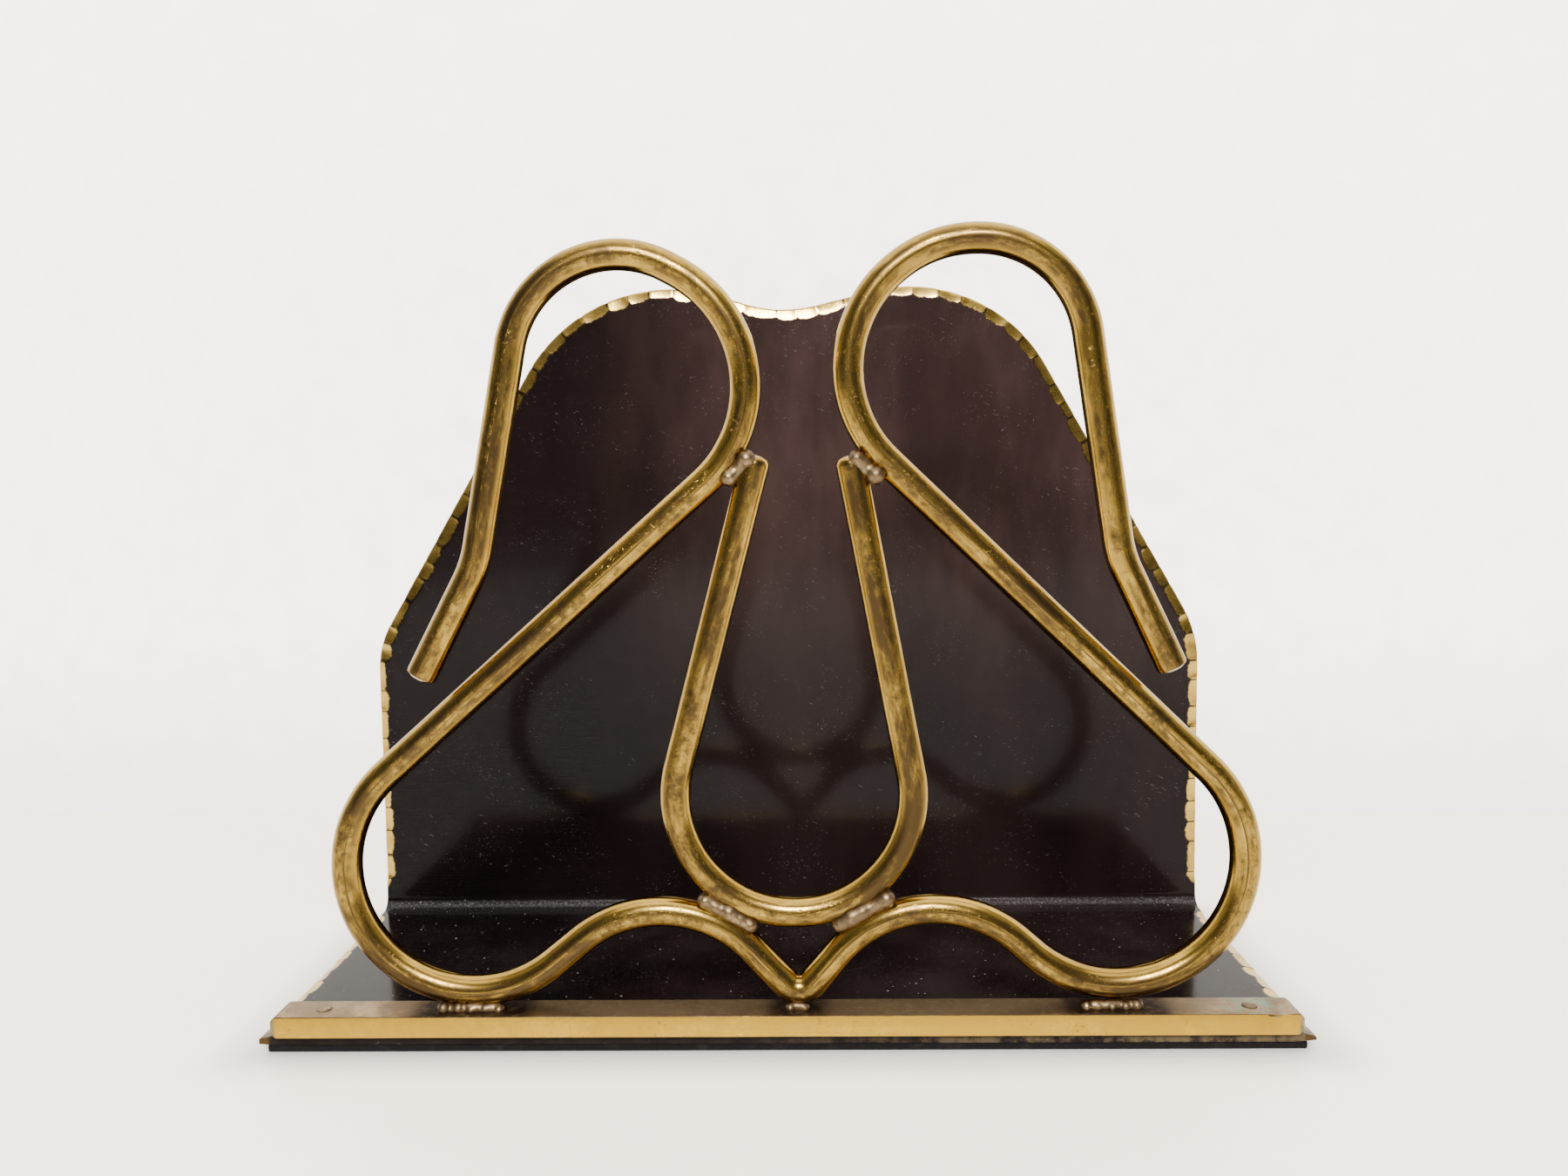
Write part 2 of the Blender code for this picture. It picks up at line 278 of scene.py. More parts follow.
def settle(name, bench, finish=None, sharp=38.0, shape=None):
    """Turn a bench object in millimetres into a finished piece in metres, with its place in its mesh."""
    bpy.context.scene.collection.objects.link(bench)
    bpy.context.view_layer.update()
    bpy.context.evaluated_depsgraph_get()
    mesh = bpy.data.meshes.new_from_object(bench.evaluated_get(bpy.context.evaluated_depsgraph_get()))
    bpy.data.objects.remove(bench, do_unlink=True)
    if shape:
        for vert in mesh.vertices:
            vert.co = shape(*vert.co)
    mesh.transform(Matrix.Scale(MM, 4))
    mesh.name = name
    mesh.shade_smooth()
    mesh.set_sharp_from_angle(angle=math.radians(sharp))
    if finish:
        mesh.materials.clear()
        mesh.materials.append(finish)
    piece = bpy.data.objects.new(name, mesh)
    bpy.context.scene.collection.objects.link(piece)
    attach(piece, "root")
    return piece


def flat_sheet():
    """The sheet as it is cut out, in millimetres: X across, Y from the front edge to the plate's top."""
    rise = fold_end - fold_top
    pins = [(x, z + rise, radius, turn) for x, z, radius, turn in OUTLINE_PINS]
    base_steps = round((fold_start - CORNER_STEP) / EDGE_STEP)
    side = [0.0] + [CORNER_STEP + (fold_start - CORNER_STEP) * i / base_steps for i in range(base_steps)]
    side += [fold_start + (fold_end - fold_start) * i / FOLD_STEPS for i in range(FOLD_STEPS)]
    over = bent_path(((-half_width, fold_end), (half_width, fold_end)), pins, EDGE_STEP)
    front_steps = round(2 * half_width / CORNER_STEP)
    outline = [Vector((-half_width, y)) for y in side] + over
    outline += [Vector((half_width, y)) for y in reversed(side)]
    outline += [Vector((half_width - 2 * half_width * i / front_steps, 0.0)) for i in range(1, front_steps)]
    count = len(outline)
    fold_left = [i for i, point in enumerate(outline[:len(side) + 1]) if point.y >= fold_start - 0.01]
    last_side = len(side) + len(over) + len(side) - 1
    corners = (0, last_side)

    ways, alongs, strucks = [], [], []
    travelled = 0.0
    for i, point in enumerate(outline):
        before = (point - outline[i - 1]).normalized()
        after = (outline[(i + 1) % count] - point).normalized()
        way = (before + after).normalized()
        mitre = math.sqrt(2) if i in corners else 1.0
        ways.append(Vector((way.y, -way.x)) * mitre)
        if i:
            travelled += (point - outline[i - 1]).length
        alongs.append(travelled)
        clear_of_fold = max(fold_start - point.y, point.y - fold_end)
        strength = min(1.0, max(0.0, clear_of_fold / BARE_FROM_FOLD)) if i <= last_side else 0.0
        lighter = LEFT_BLOWS if point.x < -half_width + 0.1 else 1.0
        strucks.append(strength * strength * (3 - 2 * strength) * lighter)

    bm = bmesh.new()
    rings = []
    for inset, depth in EDGE_RINGS:
        rings.append([bm.verts.new((*(point + way * inset), -depth)) for point, way in zip(outline, ways)])
    for ring, following in zip(rings, rings[1:]):
        for i in range(count):
            j = (i + 1) % count
            bm.faces.new((ring[i], ring[j], following[j], following[i]))
    for ring, flip in ((rings[0], True), (rings[-1], False)):
        opposite = [last_side - i for i in range(len(side) + 1)]
        first, last = fold_left[0], fold_left[-1]
        pieces = [[ring[i] for i in range(first + 1)] + [ring[i] for i in range(opposite[first], count)]]
        pieces += [[ring[i], ring[i + 1], ring[opposite[i + 1]], ring[opposite[i]]]
                   for i in range(first, last)]
        pieces.append([ring[i] for i in range(last, opposite[last] + 1)])
        for corners_of_face in pieces:
            bm.faces.new(corners_of_face if flip else list(reversed(corners_of_face)))
    bmesh.ops.recalc_face_normals(bm, faces=bm.faces)
    bm.verts.index_update()
    mesh = bpy.data.meshes.new("flat_sheet")
    bm.to_mesh(mesh)
    bm.free()

    for name, numbers in (
            ("along", alongs * len(EDGE_RINGS)), ("struck", strucks * len(EDGE_RINGS)),
            ("inward", [inset for inset, depth in EDGE_RINGS for _ in range(count)]),
            ("through", [depth / SHEET for inset, depth in EDGE_RINGS for _ in range(count)])):
        mesh.attributes.new(name, "FLOAT", "POINT").data.foreach_set("value", numbers)
    inward_way = mesh.attributes.new("inward_way", "FLOAT_VECTOR", "POINT")
    flat_ways = [number for way in ways for number in (way.x, way.y, 0.0)]
    inward_way.data.foreach_set("vector", flat_ways * len(EDGE_RINGS))
    return bpy.data.objects.new("flat_sheet", mesh)


def folded(x, reach, height):
    """Where a point of the flat sheet goes when the sheet is bent up at the back."""
    depth = -height
    if reach <= fold_start:
        return x, base_front + reach, base_top - depth
    if reach >= fold_end:
        return x, plate_face + depth, fold_top + reach - fold_end
    angle = (reach - fold_start) / BEND
    radius = BEND + depth
    return x, plate_face - BEND + radius * math.sin(angle), fold_top - radius * math.cos(angle)


def millimetres(tree):
    """The place of a point on the object, in millimetres."""
    return scaled(put(tree, "ShaderNodeTexCoord").outputs["Object"], 1 / MM)


def facing(tree):
    """Which way the surface looks, as X, Y and Z."""
    return parts(put(tree, "ShaderNodeNewGeometry").outputs["Normal"])


def noise(where, scale, detail=3.0, roughness=0.55, stretch=None):
    """Noise with about scale features to a millimetre, from 0 to 1."""
    if stretch:
        where = calc_vector("MULTIPLY", where, stretch)
    return put(where.id_data, "ShaderNodeTexNoise",
               {"Vector": where, "Scale": scale, "Detail": detail, "Roughness": roughness}).outputs["Fac"]


def blend(share, first, second):
    """Mix two colours."""
    return put(share.id_data, "ShaderNodeMix", {0: share, 6: first, 7: second}, data_type="RGBA").outputs[2]


def scratches_group():
    """Fine hairline scratches: long brush marks across and stray short ones, as masks from 0 to 1."""
    tree, given, result = new_tree(
        "hairline scratches", "ShaderNodeTree",
        (("Where", "Vector", None), ("Density", "Float", 0.5)), (("Brushed", "Float"), ("Stray", "Float")))
    brushed = noise(given["Where"], 1.0, 5.0, 0.7, (0.05, 4.0, 7.0))
    tree.links.new(eased(brushed, 0.35, 0.75), result.inputs["Brushed"])
    strays = []
    for turn, stretch in ((0.5, (0.16, 6.0, 6.0)), (-0.35, (0.2, 5.0, 5.0)), (1.25, (0.22, 5.0, 5.0))):
        turned = put(tree, "ShaderNodeMapping", {"Vector": given["Where"], "Rotation": (0.4, turn, turn)})
        line = noise(turned.outputs[0], 0.7, 1.0, 0.4, stretch)
        place = noise(turned.outputs[0], 0.09, 2.0, 0.5)
        thin = eased(line, 0.70, 0.76)
        strays.append(times(thin, eased(place, 0.50, 0.66)))
    most = larger(larger(strays[0], strays[1]), strays[2])
    tree.links.new(times(most, given["Density"]), result.inputs["Stray"])
    return tree


def dust_group():
    """Settled dust: specks and short fibres, thicker where the surface faces up."""
    tree, given, result = new_tree(
        "settled dust", "ShaderNodeTree",
        (("Where", "Vector", None), ("Amount", "Float", 0.5)), (("Dust", "Float"),))
    cells = put(tree, "ShaderNodeTexVoronoi", {"Vector": given["Where"], "Scale": 0.95, "Randomness": 1.0})
    pick = put(tree, "ShaderNodeSeparateColor", {0: cells.outputs["Color"]})
    size = times(power(pick.outputs[0], 4.5), 0.20)
    edge = plus(size, 0.05)
    speck = minus(1.0, eased(divided(cells.outputs["Distance"], edge), 0.5, 1.0))
    speck = times(speck, eased(pick.outputs[1], 0.1, 0.9))
    settled = eased(facing(tree)["Z"], -0.1, 0.8, 0.10, 1.0)
    haze = eased(noise(given["Where"], 0.05, 5.0, 0.7), 0.4, 0.8, 0.0, 0.03)
    total = plus(speck, haze)
    dust = times(times(total, settled), given["Amount"])
    tree.links.new(smaller(dust, 1.0), result.inputs["Dust"])
    return tree


def tarnish_group():
    """Old tarnish on brass: broad cloudy patches, and small dark pits gathered inside them."""
    tree, given, result = new_tree(
        "tarnish", "ShaderNodeTree",
        (("Where", "Vector", None), ("Size", "Float", 1.0), ("Cover", "Float", 0.5)),
        (("Cloud", "Float"), ("Pits", "Float"), ("Grain", "Float")))
    where = scaled(given["Where"], divided(1.0, given["Size"]))
    broad = noise(where, 0.10, 4.0, 0.6)
    fine = noise(where, 0.55, 5.0, 0.68)
    mixed = times_plus(fine, 0.55, times(broad, 0.75))
    level = times_plus(given["Cover"], -0.42, 0.86)
    cloud = eased(minus(mixed, level), -0.13, 0.17)
    pits = eased(noise(where, 1.5, 3.0, 0.6), 0.60, 0.70)
    gather = eased(noise(where, 0.16, 2.0), 0.48, 0.64)
    tree.links.new(cloud, result.inputs["Cloud"])
    tree.links.new(times(pits, gather), result.inputs["Pits"])
    tree.links.new(noise(where, 3.0, 4.0, 0.7), result.inputs["Grain"])
    return tree


def new_finish(name, **constants):
    """A material with one Principled shader, its constant values set on the shader's own sockets."""
    finish = bpy.data.materials.new(name)
    finish.use_nodes = True
    shader = finish.node_tree.nodes["Principled BSDF"]
    for key, value in constants.items():
        shader.inputs[key.replace("_", " ")].default_value = value
    return finish, finish.node_tree, shader


def effect(group, **values):
    """The outputs of a shared effect, placed in the material that its Where is in."""
    return put(values["Where"].id_data, "ShaderNodeGroup", values, node_tree=group).outputs


def dress(shader, height, strength, distance, **sockets):
    """Link a finish to its shader's sockets, with a fine relief of the given height."""
    tree = shader.id_data
    for key, value in sockets.items():
        tree.links.new(value, shader.inputs[key.replace("_", " ")])
    bump = put(tree, "ShaderNodeBump", {"Height": height, "Strength": strength, "Distance": distance})
    tree.links.new(bump.outputs[0], shader.inputs["Normal"])


scratches, dust, tarnish = scratches_group(), dust_group(), tarnish_group()


# Near-black lacquer over the brass, bare where the hammer struck and rubbed brown along the front.
lacquer, tree, shader = new_finish("dark_lacquer", Coat_Roughness=0.05, Specular_IOR_Level=0.11)
where = millimetres(tree)
marks = effect(scratches, Where=where, Density=0.8)
specks = effect(dust, Where=where, Amount=0.62)
stain = effect(tarnish, Where=where, Size=0.7, Cover=0.4)
blow, reach, inward, struck = (put(tree, "ShaderNodeAttribute", attribute_name=name).outputs["Fac"]
                               for name in ("blow", "reach", "inward", "struck"))
join = calc("ABSOLUTE", times_plus(calc("FRACT", blow), 2.0, -1.0))
scalloped = times(reach, times_plus(power(join, 5.0), -0.30, 1.0))
uncovered = minus(times(scalloped, struck), inward)
ragged = times_plus(noise(where, 1.1, 4.0, 0.65), 1.1, plus(uncovered, -0.55))
struck_bare = eased(struck, 0.25, 0.55)
bare = times(eased(ragged, 0.10, 0.22), struck_bare)
# Painted shade with dirt: a dark line at the inner rim of each blow, and painted shade along the joins
# between blows.
dark_rim = eased(ragged, 0.20, 0.48, 1.0, 0.0)
painted_join_shade = times(eased(join, 0.90, 0.97), eased(noise(where, 0.45, 2.0), 0.36, 0.52, 0.30, 1.0))
place = parts(where)
# Painted reflection: the lacquer is made lighter towards the upper right and darker towards the bottom
# left, over its streaky clouding.
painted_reflection_gradient = times(eased(place["X"], -50.0, 5.0, 0.12, 1.0), eased(place["Z"], 35.0, 100.0, 0.22, 1.0))
streaky = noise(where, 0.05, 4.0, 0.6, (1.0, 1.0, 0.35))
clouding_and_painted_reflection = times(eased(streaky, 0.30, 0.68, 0.40, 1.0), painted_reflection_gradient)
lacquer_colour = blend(clouding_and_painted_reflection, LACQUER_DEEP, LACQUER_CLOUDED_AND_REFLECTION)
lacquer_colour = blend(times(marks["Brushed"], 0.10), lacquer_colour, BRUSHED_BROWN)
lacquer_colour = blend(times(marks["Stray"], 0.4), lacquer_colour, SCRATCH_GREY)
at_front = eased(place["Y"], base_front + 0.05, base_front + 0.35, 1.0, 0.0)
toward_right = eased(place["X"], -15.0, 60.0, 0.06, 0.9)
rubbed = times(at_front, times(toward_right, eased(noise(where, 0.3, 4.0, 0.7), 0.35, 0.6)))
lacquer_colour = blend(rubbed, lacquer_colour, RUBBED_BROWN)
brass_colour = blend(stain["Cloud"], STRUCK_BRASS, STRUCK_STAINED)
# The struck brass is made darker near the front edge, fading out 11 mm in.
darker_near_front = eased(place["Y"], base_front + 3.0, base_front + 11.0, 0.95, 0.0)
dirt_and_shade = larger(larger(dark_rim, painted_join_shade), darker_near_front)
brass_colour = blend(dirt_and_shade, brass_colour, DIRT_AND_SHADE)
colour = blend(bare, lacquer_colour, brass_colour)
covered = minus(1.0, bare)
# Dust in the fold, drawn as a pale line that is also a painted highlight along the fold's top.
in_fold = times(eased(place["Y"], plate_face - 1.5, plate_face - 0.6, 0.30, 1.0),
                eased(place["Z"], fold_top - 1.3, fold_top - 0.8, 1.0, 0.0))
in_fold = times(in_fold, eased(place["Y"], plate_face - 3.2, plate_face - 2.2))
fold_dust_and_highlight = times(in_fold, eased(noise(where, 2.4, 4.0, 0.8), 0.45, 0.75, 0.03, 0.32))
dust_and_fold_highlight = times(larger(specks["Dust"], fold_dust_and_highlight), covered)
colour = blend(dust_and_fold_highlight, colour, DUST_AND_HIGHLIGHT_GREY)
glossy = times(minus(covered, at_front), 0.05)
gloss = times_plus(marks["Brushed"], 0.06, 0.10)
gloss = plus(gloss, times(larger(dust_and_fold_highlight, at_front), 0.45))
relief = times_plus(marks["Brushed"], 0.04, times(marks["Stray"], -0.6))
ripple = noise(where, 0.035, 1.0, 0.4)
relief = times_plus(ripple, 7.0, relief)
dress(shader, relief, 0.12, 0.0002, Base_Color=colour, Metallic=bare,
      Coat_Weight=larger(glossy, 0.0), Roughness=times_plus(bare, 0.10, gloss))

bench = flat_sheet()
grow(bench, hammered_edge_tree(),
     {"Pitch": BLOW_PITCH, "Width": BLOW_WIDTH, "Sink": BLOW_SINK,
      "Back Share": BACK_SHARE, "Notch": BLOW_NOTCH, "Seed": 7, "Finish": lacquer})
sheet = settle("hammered_sheet", bench, lacquer, shape=folded)
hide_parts("formed_sheet")


# ------------------------------
# Dark underlay. A near-black layer, 1 mm thick, under the base, which shows as a dark band below
# the base's front edge. It lies in from the base's sides and almost flush with its front. Its cut edge is
# soft.
# ------------------------------
PAD_EDGE = 0.35  # its cut edges are softened by this
UNDERLAY_DEEP = (0.0022, 0.0020, 0.0024, 1)
UNDERLAY_FIBRE = (0.017, 0.015, 0.016, 1)
UNDERLAY_TUFT = (0.030, 0.027, 0.027, 1)
pad_low, pad_high = (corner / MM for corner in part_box("felt_pad"))


def rounded_block(low, high, soften, ends=0.0, segments=3, step=None):
    """A bench box with softened edges, rounder round its ends; step cuts it across its length."""
    bm = bmesh.new()
    bmesh.ops.create_cube(bm, size=1.0)
    for vert in bm.verts:
        vert.co = Vector((low[i] + (vert.co[i] + 0.5) * (high[i] - low[i]) for i in range(3)))
    if ends:
        round_ends = [edge for edge in bm.edges if abs(edge.verts[0].co.x - edge.verts[1].co.x) < 0.01]
        bmesh.ops.bevel(bm, geom=round_ends, offset=ends, segments=6, profile=0.5, affect="EDGES")
    long_edges = [edge for edge in bm.edges if edge.is_manifold and edge.calc_face_angle() > 1.2]
    bmesh.ops.bevel(bm, geom=long_edges, offset=soften, segments=segments, profile=0.5,
                    affect="EDGES", clamp_overlap=True)
    if step:
        count = round((high[0] - low[0]) / step)
        for i in range(1, count):
            x = low[0] + (high[0] - low[0]) * i / count
            if low[0] + soften < x < high[0] - soften:
                geometry = bm.verts[:] + bm.edges[:] + bm.faces[:]
                bmesh.ops.bisect_plane(bm, geom=geometry, plane_co=(x, 0, 0), plane_no=(1, 0, 0))
    mesh = bpy.data.meshes.new("block")
    bm.to_mesh(mesh)
    bm.free()
    return bpy.data.objects.new("block", mesh)


underlay_finish, tree, shader = new_finish("black_felt", Roughness=0.95, Specular_IOR_Level=0.08, Sheen_Weight=0.03)
where = millimetres(tree)
fibres = noise(where, 2.2, 6.0, 0.75)
tufts = noise(where, 0.35, 3.0, 0.6)
underlay_colour = blend(fibres, UNDERLAY_DEEP, UNDERLAY_FIBRE)
underlay_colour = blend(eased(tufts, 0.5, 0.75, 0.0, 0.4), underlay_colour, UNDERLAY_TUFT)
dress(shader, fibres, 0.8, 0.0004, Base_Color=underlay_colour)

bench = rounded_block((pad_low.x, pad_low.y, pad_low.z), (pad_high.x, pad_high.y, sheet_low.z), PAD_EDGE)
pad = settle("dark_underlay", bench, underlay_finish)
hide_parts("felt_pad")


# ------------------------------
# Front rail. A flat brass bar along the front of the base, its corners rubbed round. Its front is
# kept bright by handling, its top is dull, and it has a dent and some green at its right end.
# ------------------------------
RAIL_EDGE = 0.22  # its long corners are rubbed round by this
RAIL_END = 1.6  # the corners of its ends are filed rounder
RAIL_SAG = 0.10  # how uneven the bar's faces are
DENT_PLACE = 78.1  # how far along the dent is, how deep and how wide
DENT_SINK = 0.9
DENT_SIZE = 2.6
END_DRAW = 0.50  # the ends are filed thinner by this share
RAIL_BRIGHT = (0.63, 0.385, 0.038, 1)
RAIL_BRIGHT_STAINED = (0.50, 0.290, 0.026, 1)
RAIL_DULL = (0.46, 0.33, 0.17, 1)
RAIL_DULL_STAINED = (0.26, 0.18, 0.10, 1)
# Dark line of painted shade on the bar's rounded edges.
EDGE_SHADE_LINE = (0.075, 0.043, 0.018, 1)
RAIL_PIT = (0.10, 0.06, 0.03, 1)
# Soot and painted shade round the joints.
SOOT_AND_SHADE = (0.045, 0.030, 0.020, 1)
VERDIGRIS = (0.115, 0.235, 0.165, 1)
RAIL_DUST = (0.45, 0.42, 0.38, 1)
rail_low, rail_high = (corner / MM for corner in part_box("base_rail"))

rail_brass, tree, shader = new_finish("rail_brass", Specular_IOR_Level=0.5)
where = millimetres(tree)
way = facing(tree)
rubbed = eased(way["Y"], -0.97, -0.85, 1.0, 0.0)
stain = effect(tarnish, Where=where, Size=1.0, Cover=0.75)
marks = effect(scratches, Where=where, Density=0.8)
specks = effect(dust, Where=where, Amount=0.35)
bright = blend(times(stain["Cloud"], 0.5), RAIL_BRIGHT, RAIL_BRIGHT_STAINED)
dull = blend(stain["Cloud"], RAIL_DULL, RAIL_DULL_STAINED)
colour = blend(rubbed, dull, bright)
# Painted shade: a dark line along the bar's rounded edges.
steep = calc("ABSOLUTE", way["Z"])
painted_edge_shade = times(eased(steep, 0.15, 0.40), eased(steep, 0.90, 0.99, 1.0, 0.0))
colour = blend(times(painted_edge_shade, 0.85), colour, EDGE_SHADE_LINE)
colour = blend(times(stain["Pits"], 0.55), colour, RAIL_PIT)
place_along = parts(where)
near_end = eased(place_along["X"], 64.0, 80.0)
# Soot with painted shade: the rail is darkened round each brazed joint, though not on its front.
soot_and_shade = 0.0
for joint in ("braze_rail_left", "braze_rail_centre", "braze_rail_right"):
    joint_low, joint_high = (corner.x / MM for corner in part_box(joint))
    middle, reach = (joint_low + joint_high) / 2, (joint_high - joint_low) / 2
    from_joint = calc("ABSOLUTE", minus(place_along["X"], middle))
    soot_and_shade = larger(soot_and_shade, eased(from_joint, reach - 0.5, reach + 3.5, 1.0, 0.0))
soot_and_shade = times(soot_and_shade, minus(1.0, rubbed))
soot_and_shade = times(soot_and_shade, eased(noise(where, 0.5, 4.0, 0.7), 0.30, 0.55, 0.35, 0.95))
colour = blend(soot_and_shade, colour, SOOT_AND_SHADE)
green = times(near_end, eased(noise(where, 0.35, 5.0, 0.7), 0.44, 0.58))
green = times(green, eased(way["Z"], 0.5, 0.9))
colour = blend(times(green, 0.85), colour, VERDIGRIS)
colour = blend(specks["Dust"], colour, RAIL_DUST)
metal = times_plus(green, -0.8, 1.0)
metal = minus(metal, times(specks["Dust"], 0.5))
dullness = times_plus(rubbed, -0.16, 0.36)
rough = times_plus(stain["Cloud"], 0.14, dullness)
rough = times_plus(marks["Stray"], 0.2, rough)
relief = times_plus(stain["Grain"], 0.35, times(stain["Pits"], -0.9))
relief = times_plus(marks["Brushed"], 0.4, relief)
dress(shader, relief, 0.35, 0.0001, Base_Color=colour, Metallic=metal, Roughness=rough)


def worn_bar_tree():
    """Makes a bar's surface gently uneven, with one dent in its top edge; ends and faces only go in."""
    tree, given, result = new_tree(
        "worn bar", "GeometryNodeTree",
        (("Bar", "Geometry", None), ("Unevenness", "Float", 0.1), ("Dent Place", "Vector", None),
         ("Dent Sink", "Float", 0.3), ("Dent Size", "Float", 2.0), ("Finish", "Material", None)),
        (("Bar", "Geometry"),))
    here = put(tree, "GeometryNodeInputPosition").outputs[0]
    outward = put(tree, "GeometryNodeInputNormal").outputs[0]
    low = noise(here, 0.07, 3.0, 0.55)
    depth = times(low, given["Unevenness"])
    away = calc_vector("DISTANCE", here, given["Dent Place"]).node.outputs["Value"]
    dent = minus(1.0, eased(divided(away, given["Dent Size"]), 0.0, 1.0))
    sink = times_plus(dent, given["Dent Sink"], depth)
    offset = scaled(outward, times(sink, -1.0))
    moved = put(tree, "GeometryNodeSetPosition", {"Geometry": given["Bar"], "Offset": offset})
    return finished_tree(moved.outputs[0], given["Finish"], result)


bench = rounded_block((rail_low.x, rail_low.y, base_top - RAIL_SAG / 2),
                      (rail_high.x, rail_high.y, rail_high.z), RAIL_EDGE, RAIL_END, step=1.2)
grow(bench, worn_bar_tree(),
     {"Unevenness": RAIL_SAG, "Dent Place": (DENT_PLACE, rail_low.y + 1.0, rail_high.z),
      "Dent Sink": DENT_SINK, "Dent Size": DENT_SIZE, "Finish": rail_brass})
rail_middle_z = (base_top + rail_high.z) / 2


def filed_ends(x, y, z):
    """Draw the last of the bar's height in at both ends, as a file leaves it."""
    past = max(0.0, abs(x) - (rail_high.x - RAIL_END)) / RAIL_END
    return x, y, rail_middle_z + (z - rail_middle_z) * (1 - END_DRAW * past ** 2)


rail = settle("front_rail", bench, rail_brass, shape=filed_ends)
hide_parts("base_rail")


# ------------------------------
# Rail rivets. Two brass pins hold the rail to the base. Their heads are hammered down almost
# level with the rail and have gone as dull as its top, with a dark ring of dirt and painted shade round the
# side of each.
# ------------------------------
HEAD_CROWN = 0.14
HEAD_SPREAD = 1.02  # the head is this much wider than the pin
HEAD_SIDES = 28
HEAD_WOBBLE = (0.16, 0.16, 0.10)
HEAD_BRASS = (0.46, 0.33, 0.16, 1)
HEAD_STAINED = (0.15, 0.10, 0.055, 1)
# Near-black of dirt and painted shade round the head's side.
HEAD_RIM_DIRT_AND_SHADE = (0.030, 0.020, 0.012, 1)
HEAD_PIT = (0.05, 0.03, 0.02, 1)


def rivet_tree():
    """A turned rivet on each point: a pin with a low head that is a little out of round."""
    tree, given, result = new_tree(
        "rivets", "GeometryNodeTree",
        (("Places", "Geometry", None), ("Radius", "Float", 1.0), ("Length", "Float", 1.0),
         ("Crown", "Float", 0.3), ("Sides", "Int", 12), ("Finish", "Material", None)),
        (("Rivets", "Geometry"),))
    ball = put(tree, "GeometryNodeMeshUVSphere",
               {"Segments": given["Sides"], "Rings": 14, "Radius": 1.0}).outputs["Mesh"]
    here = put(tree, "GeometryNodeInputPosition").outputs[0]
    part = parts(here)
    head = times(larger(part["Z"], 0.0), given["Crown"])
    pin = times(larger(times(part["Z"], -4.0), 0.0), given["Length"])
    depth = smaller(pin, given["Length"])
    squared = put(tree, "ShaderNodeCombineXYZ",
                  {"X": times(part["X"], given["Radius"]),
                   "Y": times(part["Y"], given["Radius"]),
                   "Z": minus(head, depth)}).outputs[0]
    drift = put(tree, "ShaderNodeTexNoise", {"Vector": here, "Scale": 1.3}).outputs["Color"]
    wobble = calc_vector("MULTIPLY", calc_vector("SUBTRACT", drift, (0.5, 0.5, 0.5)), HEAD_WOBBLE)
    shaped = put(tree, "GeometryNodeSetPosition",
                 {"Geometry": ball, "Position": calc_vector("ADD", squared, wobble)}).outputs[0]
    placed = put(tree, "GeometryNodeInstanceOnPoints", {"Points": given["Places"], "Instance": shaped})
    return finished_tree(placed.outputs[0], given["Finish"], result)


dull_brass, tree, shader = new_finish("dull_brass", Metallic=1.0)
where = millimetres(tree)
stain = effect(tarnish, Where=where, Size=0.4, Cover=0.8)
way = facing(tree)
# Dirt and painted shade: the head's sides, away from its top, are near-black.
top_clear_of_rim = eased(way["Z"], 0.75, 0.98)
colour = blend(stain["Cloud"], HEAD_BRASS, HEAD_STAINED)
colour = blend(top_clear_of_rim, HEAD_RIM_DIRT_AND_SHADE, colour)
colour = blend(times(stain["Pits"], 0.7), colour, HEAD_PIT)
dress(shader, stain["Grain"], 0.4, 0.0001, Base_Color=colour,
      Roughness=times_plus(stain["Cloud"], 0.2, 0.26))

rivet_tools = rivet_tree()
for side in ("left", "right"):
    pin_low, pin_high = (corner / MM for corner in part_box(f"rail_rivet_{side}"))
    pin_middle = (pin_low + pin_high) / 2
    spot = bpy.data.meshes.new("spot")
    spot.from_pydata([(0, 0, 0)], [], [])
    bench = bpy.data.objects.new("spot", spot)
    grow(bench, rivet_tools,
         {"Radius": (pin_high.x - pin_low.x) / 2 * HEAD_SPREAD, "Length": rail_high.z - pin_low.z,
          "Crown": HEAD_CROWN, "Sides": HEAD_SIDES, "Finish": dull_brass})
    rivet = settle(f"rivet_{side}", bench, dull_brass,
                   shape=lambda x, y, z: (pin_middle.x + x, pin_middle.y + y, rail_high.z + z))
    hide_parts(f"rail_rivet_{side}")


# ------------------------------
# Bent rods. 5 mm brass rod bent cold round pins on a jig: the scroll is one rod from free end to
# free end, and the tongue is a second rod in the same plane. Old tarnish lies along their fronts,
# and their backs are dark with tarnish and painted shade.
# ------------------------------
ROD = 5.0
ROD_STEP = 0.42
ROD_SIDES = 28
SCROLL_END_ROUNDING = 0.8
TONGUE_END_ROUNDING = 1.5  # filed round where they stand above the joints
ROD_UNEVEN = 0.07
ROD_POLISHED = (0.58, 0.372, 0.070, 1)
ROD_DEEPER = (0.39, 0.242, 0.045, 1)
ROD_TARNISH = (0.052, 0.033, 0.017, 1)
ROD_PIT = (0.07, 0.042, 0.022, 1)

